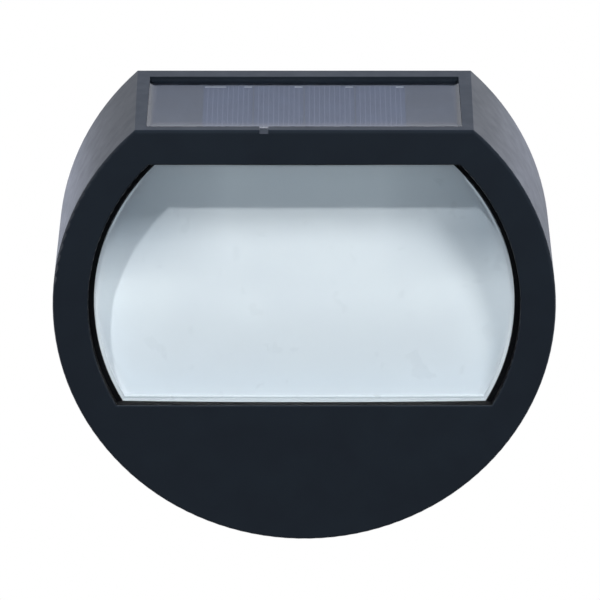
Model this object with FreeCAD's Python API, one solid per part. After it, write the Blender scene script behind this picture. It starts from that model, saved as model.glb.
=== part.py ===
import FreeCAD, Part
import math
import os

# Solar fence light: a round, flat-topped black housing that hangs on two screws.
# Millimetres.  +X right, +Z up, -Y towards the viewer.  The origin is on the back
# face, which lies against the fence, at the centre of the housing's circle.
# "depth" below is measured from the front face towards the fence.

# ---------------------------------------------------------------- driving sizes
body_radius = 65.0          # outside of the round housing
body_depth = 49.4           # front face to fence
top_height = 48.05          # flat top above the circle's centre, at the fence
top_draft = 0.52            # degrees that the flat top rises towards the front
side_wall = 2.8             # round side wall
face_wall = 2.6             # front face
front_edge_round = 0.8      # outer edge of the front face
rear_edge_round = 0.4       # outer edge at the fence

face_border = 9.2           # face between the round side and the window
face_border_top = 8.95      # face between the flat top and the window
window_bottom = -27.1       # flat lower edge of the window, below the centre
window_edge_round = 0.5
groove_depth = 3.0          # the groove around the lens, from the front face
groove_width = 1.4          # beside the round ends of the lens
groove_width_top = 0.4
groove_width_bottom = 0.15
ledge_thickness = 1.3       # the land behind the groove
collar_wall = 1.6           # wall around the opening, behind the face
collar_skirt = 6.3          # how far the land reaches below the opening

lens_setback = 2.5          # front edge of the lens, behind the front face
lens_edge_thickness = 1.6
lens_rise = 1.2             # how far the middle of the lens bulges forward
lens_clearance = 0.15
bead_width = 0.8            # adhesive bead behind the edge of the lens

dish_depth = 14.0           # white back plane, behind the front face
dish_wall = 1.2
dish_roof = 1.0             # wall that carries the lamp board
dish_drop = 3.6             # how far the dish reaches below the opening
dish_back_round = 2.0
dish_clearance = 0.2        # to the bosses beside it
lug_thickness = 2.0
lug_radius = 2.4
lug_side_height = 2.0       # height of the two side lugs above the centre
lug_low_spacing = 26.0      # half the distance between the two lower lugs
lug_low_drop = 3.2          # lower lugs below the dish

led_count = 6
led_end_margin = 8.74       # outer lamp to the end of the dish's roof
led_length = 3.5
led_width = 2.8
led_height = 0.7
led_slot_clearance = 0.35
led_board_depth = 7.6       # front edge of the lamp board
led_board_width = 6.0
led_board_thickness = 1.0
led_board_margin = 6.0      # board beyond the outer lamp
led_board_headroom = 0.3    # board stakes to the underside of the recess
stake_radius = 0.8
stake_head_radius = 1.3
stake_head_height = 0.4
stake_clearance = 0.1

side_rim = 3.37             # flat top beside the recess for the solar panel
front_rim = 3.5
pocket_side_wall = 2.0
pocket_rear_wall = 1.9
pocket_floor = 1.6
panel_depth = 1.2           # clear surface below the rim at the fence side
clear_over_cells = 1.27
cell_thickness = 0.2
substrate_thickness = 1.0
adhesive_thickness = 0.3
substrate_clearance = 0.3
resin_edge_below_rim = 0.7      # where the resin, drawn up the walls, meets them
hollow_width_side = 2.2     # how far in from the walls the resin's surface curves
hollow_width_rear = 1.5
hollow_width_front = 9.0
hollow_steps = (-0.1, 0.2, 0.45, 0.7, 0.87, 1.0)
cell_count = 4
cell_pitch = 13.2
cell_gap = 0.3
cell_front_margin = 1.5     # cells to the front wall of the recess
cell_rear_margin = 3.0      # cells to the rear wall of the recess
busbar_width = 0.9
busbar_thickness = 0.1
busbar_inset = 0.3          # from the edges of the cells
tab_length = 2.0            # ribbon at the right end of each cell
end_ribbon_length = 5.5     # ribbon at the left end of the first cell
drain_width = 2.3           # drain notch across the front rim
drain_position = -10.3
drain_fall = 0.1            # how far the notch slopes down to the face

cover_thickness = 2.5
cover_clearance = 0.2
rim_lip = 1.3               # housing lip around the back cover
gasket_thickness = 1.0
gasket_inset = 0.1
boss_radius = 2.8
boss_inset = 2.6            # centre of each boss inside the round wall
cover_screw_angle_high = 30.6
cover_screw_angle_low = -35.0
pad_radius = 4.2            # thick pads of the cover at its screws
pad_height = 2.0
cover_screw_radius = 1.45
cover_screw_head_radius = 2.7
cover_screw_head_height = 1.7
cover_screw_reach = 9.0
cover_screw_tip_gap = 1.0
counterbore_depth = 2.4
counterbore_clearance = 0.4
pilot_clearance = 0.05
hole_clearance = 0.2
small_screw_radius = 1.1
small_screw_head_radius = 2.0
small_screw_head_height = 1.3
small_screw_bite = 2.9
small_screw_sink = 0.1      # head below the face of the battery door
drive_recess_depth = 0.8    # crossed recess in each screw head

keyhole_x = 38.0
keyhole_z = 8.0
keyhole_entry_radius = 4.5
keyhole_slot_radius = 2.1
keyhole_rise = 9.0
keyhole_cup_depth = 5.0
keyhole_cup_wall = 1.2
keyhole_cup_margin = 0.3

cell_radius = 7.25          # size AA rechargeable cell
cell_can_length = 49.5
edge_softness = 0.5         # rounded rims of the cell and the capacitor
cell_nub_radius = 2.7
cell_nub_length = 1.0
cell_running_gap = 0.25
trough_to_wall = 2.3        # corner of the trough's rim to the round wall
contact_thickness = 0.4
contact_half_height = 6.0
contact_tab_half = 1.5
contact_tab_length = 2.7
spring_length = 5.9
spring_radius = 3.2
spring_wire = 0.4
spring_turns = 3.5
trough_wall = 1.5
trough_side_gap = 0.95
door_thickness = 2.2
door_clearance = 0.2
door_overlap_x = 6.4        # door beyond the cell space, each end
door_overlap_z = 1.8
door_gasket_thickness = 0.8
door_gasket_inset = 0.2
door_gasket_to_trough = 0.3
door_wall = 1.5
door_shoulder = 2.0         # thick rim of the trough below its gasket
door_rib_gap = 0.35         # door rib to the cell
door_rib_reach = 0.35       # door rib past the door's seat
door_rib_end_gap = 1.5
door_rib_thickness = 1.4
door_rib_spacing = 12.0
door_screw_reach = 4.0
door_screw_tip_gap = 0.5
door_boss_floor = 1.0
door_corner_round = 2.0

board_half_width = 24.0
board_height = 38.0
board_to_trough = 3.5
board_thickness = 1.6
board_screw_inset = 4.0
standoff_radius = 2.6
board_screw_tip_gap = 1.5
switch_rise = 9.0           # switch above the lower edge of the board
switch_length = 13.0
switch_width = 6.6
switch_height = 5.5
switch_travel = 3.0
switch_seal_thickness = 1.0
slider_length = 4.0
slider_width = 3.0
slider_clearance = 0.2
slider_below_back = 0.6     # slider tip below the fence face
slider_slot_depth = 2.0
finger_recess_half = 9.0
finger_recess_height = 5.0
finger_recess_depth = 1.2
finger_recess_corner = 2.0
grip_groove = 0.4           # grooves across the tip of the slider
grip_groove_depth = 0.3
chip_size = 5.0
chip_height = 1.6
chip_standoff = 0.1
leg_pitch = 1.27
leg_width = 0.4
leg_length = 1.0
leg_height = 0.5
legs_per_side = 4
chip_above_middle = 2.0     # chip above the middle of the board
inductor_radius = 3.0
inductor_height = 3.2
inductor_x = 12.0
inductor_above_middle = 6.0
capacitor_radius = 3.15
capacitor_height = 7.7
capacitor_x = -12.0

wire_radius = 0.5
grommet_radius = 2.5
grommet_flange = 1.1
grommet_flange_thickness = 0.6
grommet_to_wall = 10.4      # grommet's centre to the side wall of the recess
grommet_depth = 36.0
wire_spacing = 2.2
pad_spacing = 3.0           # between the two solder pads of a pair
pad_inset = 6.0             # solder pads from the edge of the board
lead_drop = 8.0             # straight run of a lead onto its pad
solar_lead_fall = 12.0      # straight run of each lead where it starts
led_lead_run = 6.0
battery_lead_run = 5.5
solar_pad_x = -17.0
battery_pad_x = 14.0

# ------------------------------------------------------------- derived positions
front_y = -body_depth
inner_radius = body_radius - side_wall
window_radius = body_radius - face_border
window_top = top_height - face_border_top
pocket_half_width = math.sqrt(body_radius ** 2 - top_height ** 2) - side_rim
grommet_x = grommet_to_wall - pocket_half_width
boss_circle = inner_radius - boss_inset
seat_y = -(cover_thickness + gasket_thickness)
pocket_front_y = front_y + front_rim
pocket_rear_y = seat_y - pocket_rear_wall
top_slope = math.tan(math.radians(top_draft))
front_top = top_height - front_y * top_slope
rim_front_z = top_height - pocket_front_y * top_slope
rim_rear_z = top_height - pocket_rear_y * top_slope
cells_rear_y = pocket_rear_y - cell_rear_margin
cells_front_y = pocket_front_y + cell_front_margin
panel_top = top_height - panel_depth
cells_top = panel_top - clear_over_cells
substrate_top = cells_top - cell_thickness
substrate_bottom = substrate_top - substrate_thickness
pocket_floor_top = substrate_bottom - adhesive_thickness
pocket_floor_under = pocket_floor_top - pocket_floor
ledge_y = front_y + groove_depth
land_y = ledge_y + ledge_thickness
lens_front_y = front_y + lens_setback
lens_back_y = lens_front_y + lens_edge_thickness
dish_back_y = front_y + dish_depth
dish_radius = boss_circle - boss_radius - dish_clearance
dish_roof_top = pocket_floor_under - led_board_headroom - stake_head_height - led_board_thickness
dish_top = dish_roof_top - dish_roof
dish_bottom = window_bottom - dish_drop
lug_low_z = dish_bottom - dish_wall - lug_low_drop
dish_roof_half = math.sqrt((dish_radius - dish_wall) ** 2 - dish_top ** 2)
led_pitch = 2 * (dish_roof_half - led_end_margin) / (led_count - 1)
led_board_y = front_y + led_board_depth
led_centre_y = led_board_y + led_board_width / 2
led_board_half = (led_count - 1) * led_pitch / 2 + led_board_margin
boss_end_y = -(cover_thickness + pad_height)
cover_inner_y = -cover_thickness
door_inner_y = -door_thickness
door_seat_y = door_inner_y - door_gasket_thickness
door_rib_tip_y = door_seat_y - door_rib_reach
door_screw_head_y = -small_screw_head_height - small_screw_sink
battery_y = door_rib_tip_y - door_rib_gap - cell_radius
trough_floor_y = battery_y - cell_radius - cell_running_gap
trough_half_x = (spring_length + cell_can_length + cell_nub_length) / 2 + contact_thickness
trough_half_z = cell_radius + trough_side_gap
door_half_x = trough_half_x + door_overlap_x
door_half_z = trough_half_z + door_overlap_z
door_screw_x = trough_half_x + door_overlap_x / 2
rim_half_x = door_half_x + door_wall
rim_half_z = door_half_z + door_wall
battery_z = rim_half_z - math.sqrt((inner_radius - trough_to_wall) ** 2 - rim_half_x ** 2)
board_bottom = battery_z + rim_half_z + board_to_trough
board_top = board_bottom + board_height
board_middle = (board_bottom + board_top) / 2
switch_z = board_bottom + switch_rise
board_rear_y = cover_inner_y - switch_seal_thickness - switch_height
board_front_y = board_rear_y - board_thickness
switch_top_y = cover_inner_y - switch_seal_thickness
cup_floor_y = cover_inner_y - keyhole_cup_depth
grommet_y = front_y + grommet_depth


# ------------------------------------------------------------------ shape helpers
def vec(x, y, z):
    return FreeCAD.Vector(x, y, z)


def box(x0, x1, y0, y1, z0, z1):
    return Part.makeBox(x1 - x0, y1 - y0, z1 - z0, vec(x0, y0, z0))


def rod(radius, x, z, y0, y1):
    # round bar along Y
    return Part.makeCylinder(radius, y1 - y0, vec(x, y0, z), vec(0, 1, 0))


def post(radius, x, y, z0, z1):
    # round bar along Z
    return Part.makeCylinder(radius, z1 - z0, vec(x, y, z0), vec(0, 0, 1))


def cut_circle(radius, top, bottom=None):
    # face in the XZ plane: a circle cut flat at the top, and at the bottom if given
    top_x = math.sqrt(radius ** 2 - top ** 2)
    right_top = vec(top_x, 0, top)
    left_top = vec(-top_x, 0, top)
    top_edge = Part.LineSegment(left_top, right_top).toShape()
    if bottom is None:
        arc = Part.Arc(right_top, vec(0, 0, -radius), left_top).toShape()
        return Part.Face(Part.Wire([top_edge, arc]))
    low_x = math.sqrt(radius ** 2 - bottom ** 2)
    right_low = vec(low_x, 0, bottom)
    left_low = vec(-low_x, 0, bottom)
    right_arc = Part.Arc(right_top, vec(radius, 0, 0), right_low).toShape()
    low_edge = Part.LineSegment(right_low, left_low).toShape()
    left_arc = Part.Arc(left_low, vec(-radius, 0, 0), left_top).toShape()
    return Part.Face(Part.Wire([top_edge, right_arc, low_edge, left_arc]))


def prism(face, y0, y1):
    moved = face.copy()
    moved.translate(vec(0, y0, 0))
    return moved.extrude(vec(0, y1 - y0, 0))


def rounded_plate(half_x, half_z, centre_z, y0, y1, corner):
    plate = box(-half_x, half_x, y0, y1, centre_z - half_z, centre_z + half_z)
    upright = [e for e in plate.Edges if abs(e.BoundBox.YLength - (y1 - y0)) < 1e-6]
    return plate.makeFillet(corner, upright)


def slab(points, x0, x1):
    # outline in the YZ plane, drawn out along X
    corners = [vec(x0, y, z) for y, z in points]
    return Part.Face(Part.makePolygon(corners + corners[:1])).extrude(vec(x1 - x0, 0, 0))


def edges_at_y(shape, y):
    return [e for e in shape.Edges if abs(e.BoundBox.YMin - y) < 1e-4 and e.BoundBox.YLength < 1e-4]


def screw(x, z, head_y, tip_y, shank_radius, head_radius, head_height):
    # pan head against the plane head_y, shank to tip_y, crossed recess in the head
    sign = 1 if head_y > tip_y else -1
    top_y = head_y + sign * head_height
    shank = rod(shank_radius, x, z, min(head_y, tip_y), max(head_y, tip_y))
    head = rod(head_radius, x, z, min(head_y, top_y), max(head_y, top_y))
    head = head.makeFillet(head_height * 0.45, edges_at_y(head, top_y))
    arm = head_radius * 0.62
    slim = head_radius * 0.16
    floor_y = top_y - sign * drive_recess_depth
    low = min(floor_y, top_y + sign)
    high = max(floor_y, top_y + sign)
    cross = box(x - arm, x + arm, low, high, z - slim, z + slim)
    cross = cross.fuse(box(x - slim, x + slim, low, high, z - arm, z + arm))
    return shank.fuse(head).cut(cross).removeSplitter()


def tube(points, radius):
    # straight runs joined by tangent arcs, swept with a round section
    nodes = [vec(*p) for p in points]
    edges = []
    start = nodes[0]
    for before, here, after in zip(nodes, nodes[1:], nodes[2:]):
        run_in = here - before
        run_out = after - here
        turn = run_in.getAngle(run_out)
        shorter = min(run_in.Length, run_out.Length)
        trim = 0.45 * shorter
        bend = trim / math.tan(turn / 2)
        run_in.normalize()
        run_out.normalize()
        arc_start = here - run_in * trim
        arc_end = here + run_out * trim
        inward = run_out - run_in
        inward.normalize()
        centre = here + inward * (bend / math.cos(turn / 2))
        middle = centre - inward * bend
        edges.append(Part.LineSegment(start, arc_start).toShape())
        edges.append(Part.Arc(arc_start, middle, arc_end).toShape())
        start = arc_end
    edges.append(Part.LineSegment(start, nodes[-1]).toShape())
    profile = Part.Wire(Part.makeCircle(radius, nodes[0], nodes[1] - nodes[0]))
    return Part.Wire(edges).makePipeShell([profile], True, False)


def on_boss_circle(side, angle):
    turn = math.radians(angle)
    return side * boss_circle * math.cos(turn), boss_circle * math.sin(turn)


cover_screw_places = [on_boss_circle(side, angle) for side in (-1, 1)
                      for angle in (cover_screw_angle_high, cover_screw_angle_low)]
lug_places = [(side * boss_circle, lug_side_height) for side in (-1, 1)]
lug_places += [(side * lug_low_spacing, lug_low_z) for side in (-1, 1)]


# ------------------------------------------------------------------------ housing
def make_front_housing():
    shell = prism(cut_circle(body_radius, front_top + 1), front_y, 0)
    shell = shell.cut(slab([(front_y, front_top), (0, top_height), (0, front_top + 2),
                            (front_y, front_top + 2)], -body_radius, body_radius))
    shell = shell.makeFillet(front_edge_round, edges_at_y(shell, front_y))
    shell = shell.makeFillet(rear_edge_round, edges_at_y(shell, 0))

    cavity = prism(cut_circle(inner_radius, top_height - side_wall), front_y + face_wall, seat_y)
    pocket_half = pocket_half_width + pocket_side_wall
    pocket_block = box(-pocket_half, pocket_half, front_y, seat_y + 1, pocket_floor_under, top_height)
    cavity = cavity.cut(pocket_block)
    rebate = prism(cut_circle(body_radius - rim_lip, top_height - rim_lip), seat_y, 1)
    shell = shell.cut(cavity).cut(rebate)

    collar = prism(cut_circle(window_radius + collar_wall, window_top + collar_wall,
                              window_bottom - collar_skirt), front_y + face_wall, land_y)
    shell = shell.fuse(collar)
    for x, z in cover_screw_places:
        shell = shell.fuse(rod(boss_radius, x, z, front_y + face_wall, boss_end_y))
    for x, z in lug_places:
        shell = shell.fuse(rod(lug_radius, x, z, front_y + face_wall, land_y))

    opening = prism(cut_circle(window_radius, window_top, window_bottom), front_y - 1, ledge_y)
    land_hole = prism(ledge_outline(), ledge_y, land_y)
    shell = shell.cut(opening).cut(land_hole)
    rim = [e for e in edges_at_y(shell, front_y) if e.BoundBox.ZMax < window_top + 0.01
           and e.BoundBox.ZMin > window_bottom - 0.01]
    shell = shell.makeFillet(window_edge_round, rim)

    recess = box(-pocket_half_width, pocket_half_width, pocket_front_y, pocket_rear_y,
                 pocket_floor_top, front_top + 1)
    shell = shell.cut(recess).cut(drain_notch())
    shell = shell.cut(post(grommet_radius, grommet_x, grommet_y, pocket_floor_under, pocket_floor_top))
    for x, z in cover_screw_places:
        pilot_y = boss_end_y - cover_screw_reach
        shell = shell.cut(rod(cover_screw_radius + pilot_clearance, x, z, pilot_y, boss_end_y))
    for x, z in lug_places:
        pilot_y = land_y - small_screw_bite - pilot_clearance
        shell = shell.cut(rod(small_screw_radius + pilot_clearance, x, z, pilot_y, land_y))
    return shell


def ledge_outline():
    return cut_circle(window_radius - groove_width, window_top - groove_width_top,
                      window_bottom + groove_width_bottom)


def drain_notch():
    # slopes down to the face from where the resin meets the front wall of the recess
    high = rim_front_z - resin_edge_below_rim
    return slab([(pocket_front_y, high), (front_y, high - drain_fall), (front_y, front_top + 1),
                 (pocket_front_y, front_top + 1)],
                drain_position - drain_width / 2, drain_position + drain_width / 2)


# ----------------------------------------------------------------- lens and seal
def lens_outline(shrink):
    return cut_circle(window_radius - groove_width - shrink, window_top - groove_width_top - shrink,
                      window_bottom + groove_width_bottom + shrink)


def make_lens():
    blank = prism(lens_outline(lens_clearance), front_y, lens_back_y)
    centre_z = (window_top + window_bottom) / 2
    reach = window_radius - groove_width - lens_clearance
    dome_radius = (reach ** 2 + lens_rise ** 2) / (2 * lens_rise)
    dome_y = lens_front_y - lens_rise + dome_radius
    dome = Part.makeSphere(dome_radius, vec(0, dome_y, centre_z))
    return blank.common(dome)


def make_lens_bead():
    outer = prism(lens_outline(lens_clearance), lens_back_y, land_y)
    inner = prism(lens_outline(lens_clearance + bead_width), lens_back_y, land_y)
    return outer.cut(inner)


# ---------------------------------------------------------------------- reflector
def make_reflector():
    floor_z = dish_bottom - dish_wall
    outer = prism(cut_circle(dish_radius, dish_roof_top, floor_z), land_y, dish_back_y + dish_wall)
    inner = prism(cut_circle(dish_radius - dish_wall, dish_top, dish_bottom), land_y + dish_wall, dish_back_y)
    inner = inner.makeFillet(dish_back_round, edges_at_y(inner, dish_back_y))
    mouth = prism(lens_outline(lens_clearance + bead_width), land_y, land_y + dish_wall)
    for x, z in lug_places:
        outer = outer.fuse(make_lug(x, z))
    dish = outer.cut(inner).cut(mouth)
    for x, z in lug_places:
        dish = dish.cut(rod(small_screw_radius + hole_clearance, x, z, land_y, land_y + lug_thickness))
    for x in led_places():
        dish = dish.cut(box(x - led_length / 2 - led_slot_clearance, x + led_length / 2 + led_slot_clearance,
                            led_centre_y - led_width / 2 - led_slot_clearance,
                            led_centre_y + led_width / 2 + led_slot_clearance,
                            dish_top - 1, dish_roof_top + 1))
    for x in stake_places():
        stake_top = dish_roof_top + led_board_thickness
        dish = dish.fuse(post(stake_radius, x, led_centre_y, dish_roof_top - dish_roof / 2, stake_top))
        dish = dish.fuse(post(stake_head_radius, x, led_centre_y, stake_top, stake_top + stake_head_height))
    return dish


def make_lug(x, z):
    # screw ear, with a web that joins it to the wall of the dish
    tip_y = land_y + lug_thickness
    reach = 2 * lug_radius
    if abs(x) > lug_low_spacing:
        inner_x = x - math.copysign(reach, x)
        web = box(min(x, inner_x), max(x, inner_x), land_y, tip_y, z - lug_radius, z + lug_radius)
    else:
        web = box(x - lug_radius, x + lug_radius, land_y, tip_y, z, z + reach)
    return rod(lug_radius, x, z, land_y, tip_y).fuse(web)


def led_places():
    return [(i - (led_count - 1) / 2) * led_pitch for i in range(led_count)]


def stake_places():
    return [-2 * led_pitch, 0, 2 * led_pitch]


def make_reflector_screws():
    seat = land_y + lug_thickness
    return [screw(x, z, seat, land_y - small_screw_bite, small_screw_radius,
                  small_screw_head_radius, small_screw_head_height) for x, z in lug_places]


def make_led_board():
    board = box(-led_board_half, led_board_half, led_board_y, led_board_y + led_board_width,
                dish_roof_top, dish_roof_top + led_board_thickness)
    for x in stake_places():
        board = board.cut(post(stake_radius + stake_clearance, x, led_centre_y,
                               dish_roof_top - 1, dish_roof_top + led_board_thickness + 1))
    return board


def make_leds():
    y0 = led_centre_y - led_width / 2
    y1 = led_centre_y + led_width / 2
    return [box(x - led_length / 2, x + led_length / 2, y0, y1, dish_roof_top - led_height, dish_roof_top)
            for x in led_places()]


# -------------------------------------------------------------------- solar panel
def make_panel_adhesive():
    gap = substrate_clearance
    sheet = box(-pocket_half_width + gap, pocket_half_width - gap, pocket_front_y + gap, pocket_rear_y - gap,
                pocket_floor_top, substrate_bottom)
    return sheet.cut(post(grommet_radius, grommet_x, grommet_y, pocket_floor_top - 1, substrate_bottom + 1))


def make_panel_substrate():
    gap = substrate_clearance
    return box(-pocket_half_width + gap, pocket_half_width - gap, pocket_front_y + gap, pocket_rear_y - gap,
               substrate_bottom, substrate_top)


def cell_lefts():
    return [(i - cell_count / 2) * cell_pitch + cell_gap / 2 for i in range(cell_count)]


def make_solar_cells():
    width = cell_pitch - cell_gap
    return [box(x, x + width, cells_front_y, cells_rear_y, substrate_top, cells_top) for x in cell_lefts()]


def make_cell_busbars():
    # flat ribbons at the rear edge: one at the right end of each cell, one at the far left
    rights = [x + cell_pitch - cell_gap - busbar_inset for x in cell_lefts()]
    spans = [(right - tab_length, right) for right in rights]
    first = cell_lefts()[0] + busbar_inset
    spans.append((first, first + end_ribbon_length))
    rear = cells_rear_y - busbar_inset
    return [box(left, right, rear - busbar_width, rear, cells_top, cells_top + busbar_thickness)
            for left, right in spans]


def resin_hollow():
    # the resin has set to a shallow hollow: level in the middle, drawn up towards the walls
    front_rise = rim_front_z - resin_edge_below_rim - panel_top
    rear_rise = rim_rear_z - resin_edge_below_rim - panel_top
    sections = []
    for step in hollow_steps:
        half_x = pocket_half_width - step * hollow_width_side
        front = pocket_front_y + step * hollow_width_front
        rear = pocket_rear_y - step * hollow_width_rear
        front_z = panel_top + front_rise * (1 - step) ** 2
        rear_z = panel_top + rear_rise * (1 - step) ** 2
        corners = [vec(-half_x, front, front_z), vec(half_x, front, front_z),
                   vec(half_x, rear, rear_z), vec(-half_x, rear, rear_z)]
        sections.append(Part.makePolygon(corners + corners[:1]))
    return Part.makeLoft(sections, True, False)


def make_panel_resin():
    block = slab([(pocket_front_y, substrate_top), (pocket_rear_y, substrate_top),
                  (pocket_rear_y, rim_rear_z - resin_edge_below_rim),
                  (pocket_front_y, rim_front_z - resin_edge_below_rim)],
                 -pocket_half_width, pocket_half_width)
    clear = block.cut(resin_hollow())
    for piece in make_solar_cells() + make_cell_busbars():
        clear = clear.cut(piece)
    return clear


def make_lead_grommet():
    plug = post(grommet_radius, grommet_x, grommet_y, pocket_floor_under, pocket_floor_top)
    flange = post(grommet_radius + grommet_flange, grommet_x, grommet_y,
                  pocket_floor_under - grommet_flange_thickness, pocket_floor_under)
    plug = plug.fuse(flange)
    for side in (-1, 1):
        plug = plug.cut(post(wire_radius, grommet_x + side * wire_spacing / 2, grommet_y,
                             pocket_floor_under - grommet_flange_thickness, pocket_floor_top))
    return plug


# --------------------------------------------------------------------- back cover
def keyhole(x):
    top_z = keyhole_z + keyhole_rise
    hole = rod(keyhole_entry_radius, x, keyhole_z, cover_inner_y, 1)
    slot = box(x - keyhole_slot_radius, x + keyhole_slot_radius, cover_inner_y, 1, keyhole_z, top_z)
    return hole.fuse(slot).fuse(rod(keyhole_slot_radius, x, top_z, cover_inner_y, 1))


def keyhole_cup(x, grow, floor_y):
    half = keyhole_entry_radius + keyhole_cup_margin + grow
    return box(x - half, x + half, floor_y, cover_inner_y, keyhole_z - half, keyhole_z + keyhole_rise + half)


def make_back_cover():
    plate = prism(cut_circle(body_radius - rim_lip - cover_clearance, top_height - rim_lip - cover_clearance),
                  cover_inner_y, 0)
    inside = prism(cut_circle(inner_radius - cover_clearance, top_height - side_wall - cover_clearance),
                   boss_end_y, cover_inner_y)
    for x, z in cover_screw_places:
        plate = plate.fuse(rod(pad_radius, x, z, boss_end_y, cover_inner_y).common(inside))

    trough = rounded_plate(trough_half_x + trough_wall, trough_half_z + trough_wall, battery_z,
                           trough_floor_y - trough_wall, cover_inner_y, door_corner_round)
    rim = rounded_plate(rim_half_x, rim_half_z, battery_z, door_seat_y - door_shoulder, cover_inner_y,
                        door_corner_round + door_wall)
    plate = plate.fuse(trough).fuse(rim)
    for x in (-keyhole_x, keyhole_x):
        plate = plate.fuse(keyhole_cup(x, keyhole_cup_wall, cup_floor_y - keyhole_cup_wall))
    for x, z in board_screw_places():
        plate = plate.fuse(rod(standoff_radius, x, z, board_rear_y, cover_inner_y))
    for side in (-1, 1):
        plate = plate.fuse(door_boss(side))

    plate = plate.cut(box(-trough_half_x, trough_half_x, trough_floor_y, 1,
                          battery_z - trough_half_z, battery_z + trough_half_z))
    plate = plate.cut(rounded_plate(door_half_x + door_clearance, door_half_z + door_clearance, battery_z,
                                    door_seat_y, 1, door_corner_round + door_clearance))
    for side in (-1, 1):
        plate = plate.cut(rod(small_screw_radius + pilot_clearance, side * door_screw_x, battery_z,
                              door_seat_y - door_screw_reach, door_seat_y))
        slit = side * (trough_half_x - contact_thickness / 2)
        plate = plate.cut(box(slit - contact_thickness / 2, slit + contact_thickness / 2,
                              trough_floor_y - trough_wall, trough_floor_y,
                              battery_z - contact_tab_half, battery_z + contact_tab_half))
    for x in (-keyhole_x, keyhole_x):
        plate = plate.cut(keyhole_cup(x, 0, cup_floor_y)).cut(keyhole(x))
    for x, z in board_screw_places():
        plate = plate.cut(rod(small_screw_radius + pilot_clearance, x, z, board_rear_y, cover_inner_y))
    for x, z in cover_screw_places:
        plate = plate.cut(rod(cover_screw_radius + hole_clearance, x, z, boss_end_y, 1))
        plate = plate.cut(rod(cover_screw_head_radius + counterbore_clearance, x, z, -counterbore_depth, 1))
    plate = plate.cut(rounded_plate(finger_recess_half, finger_recess_height, switch_z,
                                    -finger_recess_depth, 1, finger_recess_corner))
    return plate.cut(slider_slot(2 * slider_clearance, cover_inner_y, 1))


def slider_slot(clearance, y0, y1):
    # room for the slider over its whole travel
    half_x = (switch_travel + slider_length) / 2 + clearance
    half_z = slider_width / 2 + clearance
    return box(-half_x, half_x, y0, y1, switch_z - half_z, switch_z + half_z)


def door_boss(side):
    return rod(standoff_radius, side * door_screw_x, battery_z,
               door_seat_y - door_screw_reach - door_boss_floor, door_seat_y)


def make_cover_gasket():
    outer = cut_circle(body_radius - rim_lip - gasket_inset, top_height - rim_lip - gasket_inset)
    inner = cut_circle(inner_radius + gasket_inset, top_height - side_wall + gasket_inset)
    return prism(outer, seat_y, cover_inner_y).cut(prism(inner, seat_y, cover_inner_y))


def make_cover_screws():
    tip_y = boss_end_y - cover_screw_reach + cover_screw_tip_gap
    return [screw(x, z, -counterbore_depth, tip_y, cover_screw_radius,
                  cover_screw_head_radius, cover_screw_head_height) for x, z in cover_screw_places]


# ------------------------------------------------------------------- battery parts
def make_battery_cell():
    left = -trough_half_x + contact_thickness + spring_length
    can = Part.makeCylinder(cell_radius, cell_can_length, vec(left, battery_y, battery_z), vec(1, 0, 0))
    can = can.makeFillet(edge_softness, [e for e in can.Edges if e.Closed and e.BoundBox.XLength < 1e-4])
    nub = Part.makeCylinder(cell_nub_radius, cell_nub_length,
                            vec(left + cell_can_length, battery_y, battery_z), vec(1, 0, 0))
    return can.fuse(nub)


def make_contact(side):
    outer = side * trough_half_x
    inner = side * (trough_half_x - contact_thickness)
    low = min(outer, inner)
    high = max(outer, inner)
    plate = box(low, high, trough_floor_y, battery_y + contact_half_height,
                battery_z - contact_half_height, battery_z + contact_half_height)
    tab = box(low, high, trough_floor_y - trough_wall - contact_tab_length, trough_floor_y,
              battery_z - contact_tab_half, battery_z + contact_tab_half)
    return plate.fuse(tab)


def helix_point(turn):
    # point and direction on the spring's centre line, turns counted from the contact
    angle = 2 * math.pi * turn
    pitch = (spring_length - 2 * spring_wire) / spring_turns
    x = -trough_half_x + contact_thickness + spring_wire + pitch * turn
    here = vec(x, battery_y + spring_radius * math.cos(angle), battery_z + spring_radius * math.sin(angle))
    ahead = vec(pitch / (2 * math.pi), -spring_radius * math.sin(angle), spring_radius * math.cos(angle))
    return here, ahead.normalize()


def arc_from(start, ahead, end):
    # the arc that leaves start in the direction ahead and reaches end
    chord = end - start
    half_turn = ahead.getAngle(chord)
    along = FreeCAD.Vector(chord).normalize()
    outward = (ahead - along * ahead.dot(along)).normalize()
    middle = (start + end) * 0.5 + outward * (chord.Length / 2 * math.tan(half_turn / 2))
    return Part.Arc(start, middle, end).toShape()


def make_battery_spring():
    # pairs of arcs that meet the helix and its direction at every quarter turn
    edges = []
    quarters = int(spring_turns * 4)
    for i in range(quarters):
        start, ahead = helix_point(i / 4)
        end, onward = helix_point((i + 1) / 4)
        chord = end - start
        both = ahead + onward
        spread = 2 * (1 - ahead.dot(onward))
        slope = chord.dot(both)
        reach = (-slope + math.sqrt(slope ** 2 + spread * chord.dot(chord))) / spread
        joint = (start + ahead * reach + end - onward * reach) * 0.5
        edges.append(arc_from(start, ahead, joint))
        edges.append(arc_from(end, onward * -1, joint))
    path = Part.Wire(Part.sortEdges(edges)[0])
    first, ahead = helix_point(0)
    profile = Part.Wire(Part.makeCircle(spring_wire, first, ahead))
    return path.makePipeShell([profile], True, False)


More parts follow.
